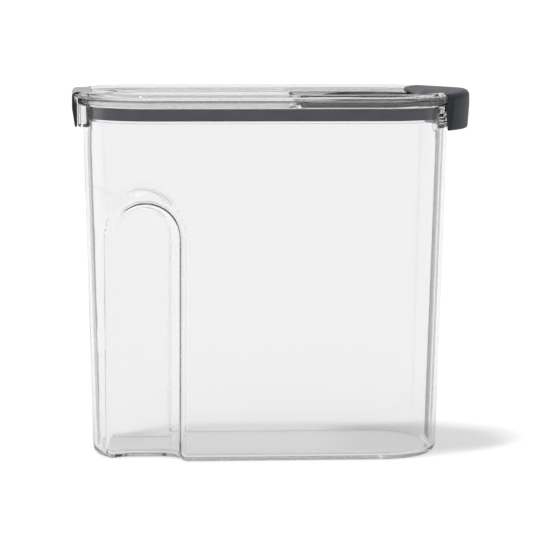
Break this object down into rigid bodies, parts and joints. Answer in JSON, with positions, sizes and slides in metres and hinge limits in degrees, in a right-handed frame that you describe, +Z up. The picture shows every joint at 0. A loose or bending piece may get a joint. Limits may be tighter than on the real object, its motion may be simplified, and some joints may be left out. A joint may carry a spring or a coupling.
{
  "type": "cereal container",
  "caption": "Clear rounded tub with hand-grip recesses, a clear sealed lid, a flip-up pour door with a dished middle, a wide latch at the pour end and a strap latch at the handle end.",
  "frame": {"origin": "centre of the tub's base, on the surface that the container stands on", "axes": "+X towards the pour end, +Y towards the back, +Z up"},
  "size_m": [0.2565, 0.1218, 0.2365],
  "materials": {
    "clear_plastic": "clear, glossy moulded plastic",
    "grey_plastic": "dark grey, softly glossy moulded plastic",
    "seal_rubber": "dark grey, matte silicone rubber",
    "hinge_rod": "dark grey, smooth rod"
  },
  "bodies": {
    "tub": {"tub": "clear_plastic"},
    "lid": {"lid": "clear_plastic", "lid_seal": "seal_rubber", "pour_door_pin": "hinge_rod", "rear_latch_pin": "hinge_rod"},
    "pour_door": {"pour_door": "grey_plastic", "pour_door_seal": "seal_rubber", "front_latch_pin": "hinge_rod"},
    "front_latch": {"front_latch": "grey_plastic"},
    "rear_latch": {"rear_latch": "grey_plastic"}
  },
  "joints": [
    {"name": "lid_lift", "type": "slide", "parent": "tub", "child": "lid", "axis": [0, 0, 1], "range_m": [0, 0.06]},
    {"name": "pour_door_swing", "type": "hinge", "parent": "lid", "child": "pour_door", "pos_m": [0.0212, 0, 0.22785], "axis": [0, -1, 0], "range_deg": [0, 100]},
    {"name": "front_latch_swing", "type": "hinge", "parent": "pour_door", "child": "front_latch", "pos_m": [0.0965, 0, 0.2321], "axis": [0, -1, 0], "range_deg": [0, 100]},
    {"name": "rear_latch_swing", "type": "hinge", "parent": "lid", "child": "rear_latch", "pos_m": [-0.113, 0, 0.23255], "axis": [0, 1, 0], "range_deg": [0, 95]}
  ]
}
